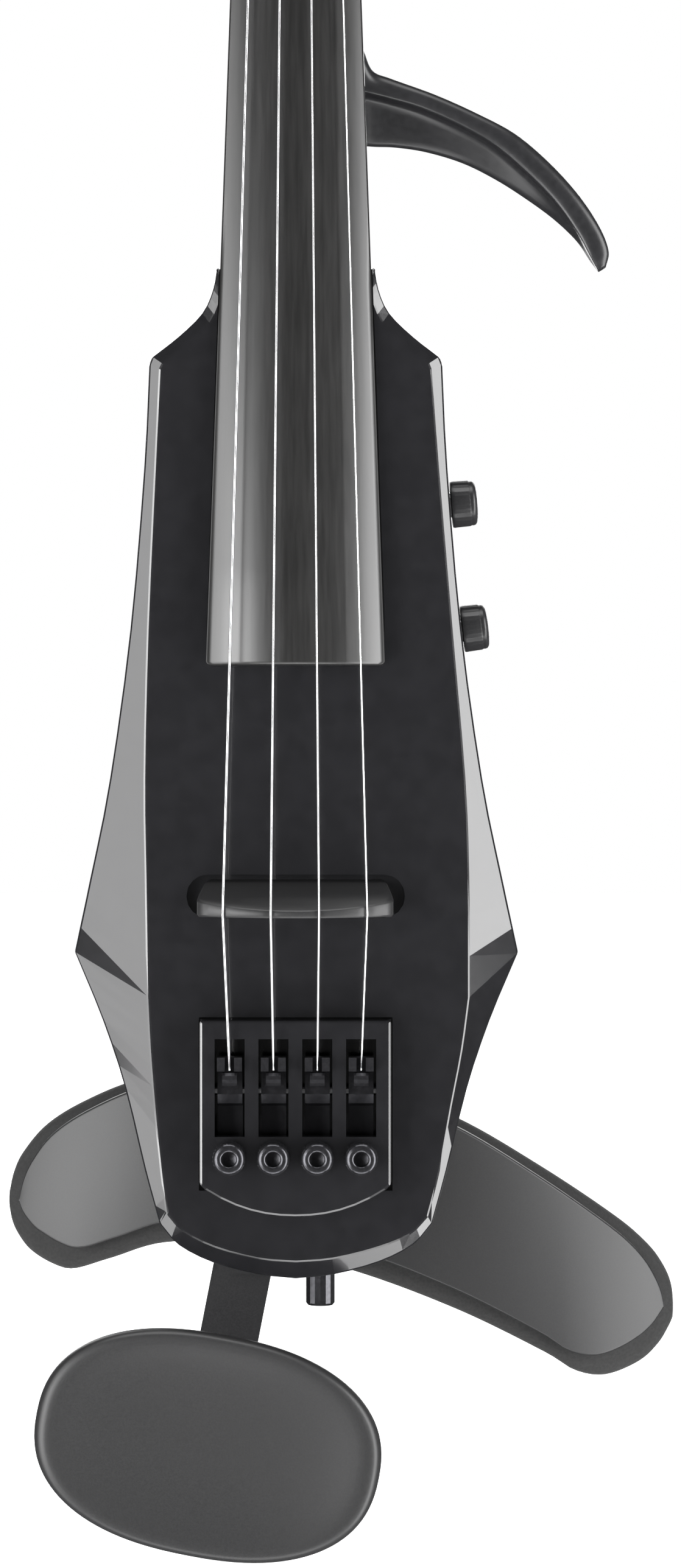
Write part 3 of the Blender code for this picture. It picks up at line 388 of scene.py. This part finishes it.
def string_route(name):
    number = string_offset(name)
    side, peg_height, peg_y = PEGS[name]
    radius = STRING_RADII[name]
    tail = point(number * TUNER_SPACING, FORK_Y, STRING_TAIL)
    bridge_x, nut_x = number * BRIDGE_SPACING, number * NUT_SPACING
    ridge = point(bridge_x, BRIDGE_STRING_Y + arch(bridge_x) + 0.25, BRIDGE_HEIGHT)
    nut = point(nut_x, NUT_STRING_Y + arch(nut_x) + 0.2, 412.4)
    route = [tail, tail.lerp(ridge, 0.5), tail.lerp(ridge, 0.97), ridge, ridge.lerp(nut, 0.006),
             ridge.lerp(nut, 0.5), nut, point(nut_x, nut.y + 0.25, NUT_HEIGHT)]
    coil = PEG_RADIUS + radius
    start_x = nut_x * 0.5
    for i in range(40):
        turn = -math.pi / 2 + math.tau * 3 * i / 39
        route.append(point(start_x - side * 0.85 * 2 * radius * 3 * i / 39, peg_y + coil * math.sin(turn),
                           peg_height - coil * math.cos(turn)))
    return route


def make_string(name):
    path = bpy.data.curves.new(f"string_{name}_wire", "CURVE")
    path.dimensions = "3D"
    path.bevel_depth = STRING_RADII[name] * MM
    path.bevel_resolution = 3
    path.use_fill_caps = True
    route = string_route(name)
    spline = path.splines.new("POLY")
    spline.points.add(len(route) - 1)
    for knot, spot in zip(spline.points, route):
        knot.co = (*(spot * MM), 1)
    add_piece(f"string_{name}_wire", path, STRING_STEEL[name], "violin", (f"string_{name}",))


def make_bridge():
    base_y, ridge = -25.2, BRIDGE_STRING_Y + 0.75
    outline = [(-20.6, base_y), (-21.5, base_y - 2.2), (-22.4, -34.0), (-22.8, -38.0), (-22.7, -39.4)]
    for i in range(41):
        x = -22.1 + 44.2 * i / 40
        notch = min(abs(x - (k - 1.5) * BRIDGE_SPACING) for k in range(4))
        outline.append((x, ridge + arch(x) + 0.22 * math.exp(-(notch / 0.6) ** 2)))
    outline += [(22.7, -39.4), (22.8, -38.0), (22.4, -34.0), (21.5, base_y - 2.2), (20.6, base_y)]
    rings = []
    for share_in, side in ((0.955, 0), (0.99, 1), (0.99, 2), (0.955, 3)):
        ring = []
        for x, y in outline:
            share = (y - ridge) / (base_y - ridge)
            tail_side = 86.9 + 0.4 * share
            neck_side = 88.7 + 6.6 * share
            height = (tail_side, tail_side + 0.45, neck_side - 0.45, neck_side)[side]
            pull = 0.0 if side in (1, 2) else 0.4
            ring.append(point(x * (1 - pull / 24), y + pull * 0.8 * (1 - share), height))
        rings.append(ring)
    add_piece("bridge_carved", closed_mesh("bridge_carved", [rings]), REST_PLASTIC, "violin",
              ("bridge",))


# ---------------------------------------------------------------- controls, tuners and pegs
def make_controls():
    for name, (height, wall, lean) in KNOBS.items():
        slope = math.radians(lean)
        direction = Vector((math.cos(slope), 0, math.sin(slope)))
        profile = ((0.3, 5.2), (3.3, 5.2), (3.3, 0.6), (5.0, 0.6), (5.45, 0.75), (5.6, 1.15), (5.58, 1.8),
                   (5.5, 4.9), (5.36, 5.15), (5.3, 5.35), (5.34, 5.7), (5.2, 6.2), (4.7, 6.6), (3.6, 6.85),
                   (1.8, 6.97), (0.3, 7.0))
        rings = turned_rings(profile, point(wall, KNOB_Y, height), direction, 96, 32, 0.12, (6, 7))
        add_piece(f"{name}_knob_turned", closed_mesh(f"{name}_knob_turned", [rings], 50), KNOB_PLASTIC,
                  f"{name}_control", (f"{name}_knob",))


def make_tuner_screws():
    head = -35.5
    for name in STRING_NAMES:
        place = point(string_offset(name) * TUNER_SPACING, 0, SCREW_HEIGHT)
        profile = ((0.2, -28.5), (1.5, -28.5), (1.5, head), (3.3, head), (3.75, head - 0.3),
                   (3.9, head - 0.8),
                   (3.9, head - 6.2), (3.7, head - 6.9), (3.2, head - 7.4), (2.5, head - 7.6),
                   (1.9, head - 7.5), (1.7, head - 7.2), (1.7, head - 4.8), (0.2, head - 4.4))
        rings = turned_rings(profile, place, Vector((0, 1, 0)), 96, 24, 0.22, (5, 6))
        add_piece(f"tuner_screw_{name}_knurled", closed_mesh(f"tuner_screw_{name}_knurled", [rings], 50),
                  DARK_METAL, f"tuner_screw_{name}", (f"tuner_screw_{name}",))


def make_peg(name):
    side, height, depth = PEGS[name]
    place = point(0, depth, height)
    outward = Vector((side, 0, 0))
    profile = ((0.3, -14.4), (3.0, -14.3), (3.5, -14.0), (PEG_RADIUS, -13.4), (PEG_RADIUS, 15.0),
               (4.5, 15.3),
               (5.2, 16.0), (5.4, 16.8), (5.2, 17.8), (4.4, 18.6), (3.6, 19.4), (3.1, 20.6), (2.9, 22.4),
               (2.9, 24.5), (2.6, 26.2))
    rings = turned_rings(profile, place, outward, 40)
    grip = []
    for level, scale in ((-2.9, 0.6), (-2.75, 0.80), (-2.3, 0.92), (-1.4, 0.985), (0, 1.0), (1.4, 0.985),
                         (2.3, 0.92), (2.75, 0.80), (2.9, 0.6)):
        ring = []
        for i in range(56):
            t = math.tau * i / 56
            across = 10.4 * math.cos(t) * (1 - 0.16 * math.cos(2 * t)) * scale
            out = 32.0 + 9.2 * math.sin(t) * scale
            ring.append(place + Vector((side * out, across, level)))
        grip.append(ring)
    button = turned_rings(((1.2, 40.8), (1.6, 41.6), (1.2, 42.4), (0.3, 42.6)), place, outward, 24)
    data = closed_mesh(f"peg_{name}_turned", [rings, grip, button], 50)
    add_piece(f"peg_{name}_turned", data, PEG_EBONY, f"peg_{name}", (f"peg_{name}",))


# ---------------------------------------------------------------- upper-bout arm
ARM_OUTER = ((15.95, 292), (18.2, 287), (22.6, 285.2), (33, 281.6), (43, 277.2), (52, 272.4), (60, 265.7),
             (67, 258), (72, 250.4), (74.2, 244.6), (73.6, 240.8))
ARM_INNER = ((16.3, 281.2), (18.5, 280.8), (22.5, 279.9), (29.7, 277.9), (38, 274.4), (46.4, 269.8),
             (54, 263.6), (61.2, 256.4), (66.6, 249), (69.6, 243.6), (71.6, 240.2))
ARM_WEB = ((16.75, 270.2), (19, 270.1), (23.8, 270), (31, 269), (39.6, 266.4), (47.6, 262.4), (55, 257.6),
           (61.6, 252.6), (66.8, 247.4), (69.8, 242.8), (71.9, 239.8))
ARM_FRONT_Y = (-20.0, -19.4, -18.6, -17.6, -17.0, -16.6, -16.2, -15.8, -15.4, -15.0, -13.6)
ARM_DEPTH = (10.4, 10.4, 10.4, 10.4, 10.0, 9.4, 8.6, 7.6, 6.2, 4.8, 2.2)


def make_arm():
    outer = through([(*o, f) for o, f in zip(ARM_OUTER, ARM_FRONT_Y)], 6)
    inner = through([(*i, d) for i, d in zip(ARM_INNER, ARM_DEPTH)], 6)
    web = through([(*w, 0) for w in ARM_WEB], 6)
    rings = []
    for o3, i3, w3 in zip(outer, inner, web):
        front, depth = o3.z, i3.z
        o, i, w = o3.xy, i3.xy, w3.xy
        back = front + depth
        controls = [(o, front + 0.24 * depth), (o.lerp(i, 0.22), front + 0.06 * depth),
                    (o.lerp(i, 0.6), front),
                    (o.lerp(i, 0.94), front + 0.05 * depth), (i, front + 0.16 * depth),
                    (i.lerp(w, 0.12), front + 0.4 * depth), (w.lerp(i, 0.06), back - 0.3 * depth),
                    (w, back - 0.12 * depth), (w.lerp(o, 0.14), back), (o.lerp(w, 0.3), back),
                    (o.lerp(w, 0.02), back - 0.36 * depth)]
        loop = through([(spot.x, y, spot.y) for spot, y in controls], 4, closed=True)
        rings.append([point(spot.x, spot.y, spot.z) for spot in loop])
    add_piece("upper_arm_carved", closed_mesh("upper_arm_carved", [rings], 60), SATIN_LACQUER, "violin",
              ("upper_arm",))


# ---------------------------------------------------------------- chin rest
CHIN_LEAN = math.radians(11.0)
CHIN_PIVOT = (-10.0, 17.15)
CHIN_REACH = 53.3
CHIN_PIN_Y = -33.0
CHIN_HALF = (40.3, 25.85)
CHIN_TURN = Matrix.Rotation(CHIN_LEAN, 3, "Y")


def chin_spot(x, y, down):
    return point(CHIN_PIVOT[0], 0, CHIN_PIVOT[1]) + CHIN_TURN @ Vector((x, y, -down))


def chin_ring(scale, y, dish=0.0, count=112):
    ring = []
    power = 2 / 2.35
    for i in range(count):
        turn = math.tau * i / count
        x = math.copysign(abs(math.cos(turn)) ** power, math.cos(turn)) * CHIN_HALF[0] * scale
        z = math.copysign(abs(math.sin(turn)) ** power, math.sin(turn)) * CHIN_HALF[1] * scale
        ring.append(chin_spot(x, y + dish, CHIN_REACH - z))
    return ring


def make_chin_rest():
    profile = [(0.02, -38.4), (0.86, -38.4), (0.92, -38.65), (0.965, -39.3), (0.99, -40.2), (1.0, -41.3),
               (0.998, -42.3), (0.99, -43.2), (0.975, -43.95), (0.955,
                                                                -44.35), (0.93, -44.55), (0.90, -44.55),
               (0.86, -44.35), (0.80, -43.95), (0.72, -43.45), (0.6, -42.85), (0.45, -42.3), (0.28, -41.95),
               (0.12, -41.8), (0.02, -41.78)]
    plate = [chin_ring(scale, y) for scale, y in profile]
    cheeks = []
    for x in (-10.6, 7.5):
        outline = [(CHIN_PIN_Y - 6.0, CHIN_REACH - 4.5), (CHIN_PIN_Y - 6.0, CHIN_REACH + 4.5)]
        for i in range(17):
            turn = math.pi * i / 16
            outline.append((CHIN_PIN_Y + 4.5 * math.sin(turn), CHIN_REACH + 4.5 * math.cos(turn)))
        cheeks.append([[chin_spot(x + shift, y, down) for y, down in outline] for shift in (0, 3.1)])
    data = closed_mesh("chin_rest_cup", [plate, *cheeks], 35)
    add_piece("chin_rest_cup", data, REST_PLASTIC, "chin_rest", ("chin_rest",))


# ---------------------------------------------------------------- shoulder rest
PAD_UPPER = ((-72.7, 14.6), (-71.5, 20.4), (-69.0, 25.6), (-63.1, 32.5), (-53.9, 38.4), (-40.4, 44.1),
             (-21.5, 48.2), (-0.5, 47.1), (20.5, 41.9), (40.0, 34.7), (61.2, 22.1), (79.1, 9.8), (86.9, 3.1),
             (91.0, -2.0), (93.6, -7.7), (94.2, -14.8))
PAD_LOWER = ((-72.7, 13.5), (-71.9, 8.3), (-70.0, 4.4), (-66.9, 0.8), (-61.4, -2.3), (-56.0, -3.3),
             (-46.7, -0.4), (-31.8, 4.0), (-8.9, 2.9), (16.0, -3.5), (40.3, -13.0), (61.2, -23.7),
             (69.0, -28.6), (76.7, -30.0), (85.2, -27.1), (90.2, -22.9), (93.1, -18.4), (94.2, -15.9))
PAD_ENDS = (-72.7, 94.2)
PLATE_Y = 22.5
PLATE_BOW = 15.0
PLATE_THICK = 4.0
PAD_THICK = 9.0


def height_at(curve, x):
    for a, b in zip(curve, curve[1:]):
        if a.x <= x <= b.x:
            return a.y + (b.y - a.y) * (x - a.x) / max(b.x - a.x, 1e-6)
    return curve[0].y if x < curve[0].x else curve[-1].y


def rest_section(x, top, bottom, near, far, radius, crown=0.0, steps=6):
    """A rounded-rectangle section across the rest at X; crown swells its far face."""
    bow = PLATE_Y + PLATE_BOW * ((x - 8.0) / 80.0) ** 2
    radius = min(radius, 0.49 * (top - bottom), 0.49 * (far - near))
    corners = ((near, top, math.pi / 2), (near, bottom, math.pi), (far, bottom, 1.5 * math.pi),
               (far, top, 0.0))
    ring = []
    for y, height, start in corners:
        cy = y + (radius if y == near else -radius)
        ch = height + (radius if height == bottom else -radius)
        for i in range(steps + 1):
            turn = start + math.pi / 2 * i / steps
            ring.append(point(x, bow + cy + radius * math.cos(turn), ch + radius * math.sin(turn)))
        if (y, height) == (far, bottom) and crown:
            for i in range(1, 6):
                share = i / 6
                ring.append(point(x, bow + far + crown * math.sin(math.pi * share),
                                  bottom + radius + (top - bottom - 2 * radius) * share))
    return ring


def rest_rings(inset, near, far, radius, crown=0.0, lift=0.0, count=96):
    upper = through(PAD_UPPER, 8)
    lower = through(PAD_LOWER, 8)
    left, right = PAD_ENDS
    scale = (right - left) / (right - left - 2 * inset)
    rings = []
    for i in range(count + 1):
        share = 0.0015 + 0.997 * (1 - math.cos(math.pi * i / count)) / 2
        x = left + inset + (right - left - 2 * inset) * share
        outer = left + (x - left - inset) * scale
        top = height_at(upper, outer)
        bottom = height_at(lower, outer)
        slim = min(inset, 0.42 * (top - bottom))
        rise = lift * min(1.0, (top - bottom) / 30.0)
        top, bottom = top - slim + 0.5 * rise, bottom + slim + rise
        swell = crown * min(1.0, (top - bottom) / 30.0)
        rings.append(rest_section(x, top, bottom, near, far, radius, swell))
    return rings


def make_shoulder_rest():
    half = PLATE_THICK / 2
    plate = rest_rings(2.8, -half, half, 0.7, lift=3.0)
    lug = []
    for x in (2.0, 10.0):
        outline = [(PLATE_Y - 1, 34.0), (PLATE_Y - 1, 26.0)]
        for i in range(17):
            turn = math.pi * i / 16
            outline.append((11.5 - 3.9 * math.sin(turn), 30.0 - 3.9 * math.cos(turn)))
        lug.append([point(x, y, height) for y, height in outline])
    add_piece("shoulder_rest_shell", closed_mesh("shoulder_rest_shell", [plate, lug], 40), REST_PLASTIC,
              "shoulder_rest", ("shoulder_rest_plate",))
    pad = rest_rings(0.0, half + 0.3, half + PAD_THICK - 1.5, 3.2, 2.0)
    cushion = add_piece("shoulder_rest_cushion", closed_mesh("shoulder_rest_cushion", [pad], 60), PAD_FOAM,
                        "shoulder_rest", ("shoulder_rest_pad",))


# ---------------------------------------------------------------- assembly
make_camera()
make_floor()
make_lights()
paint_cad_nodes()
make_fingerboard()
make_bridge()
for string in STRING_NAMES:
    make_string(string)
    make_peg(string)
make_controls()
make_tuner_screws()
make_arm()
make_chin_rest()
make_shoulder_rest()
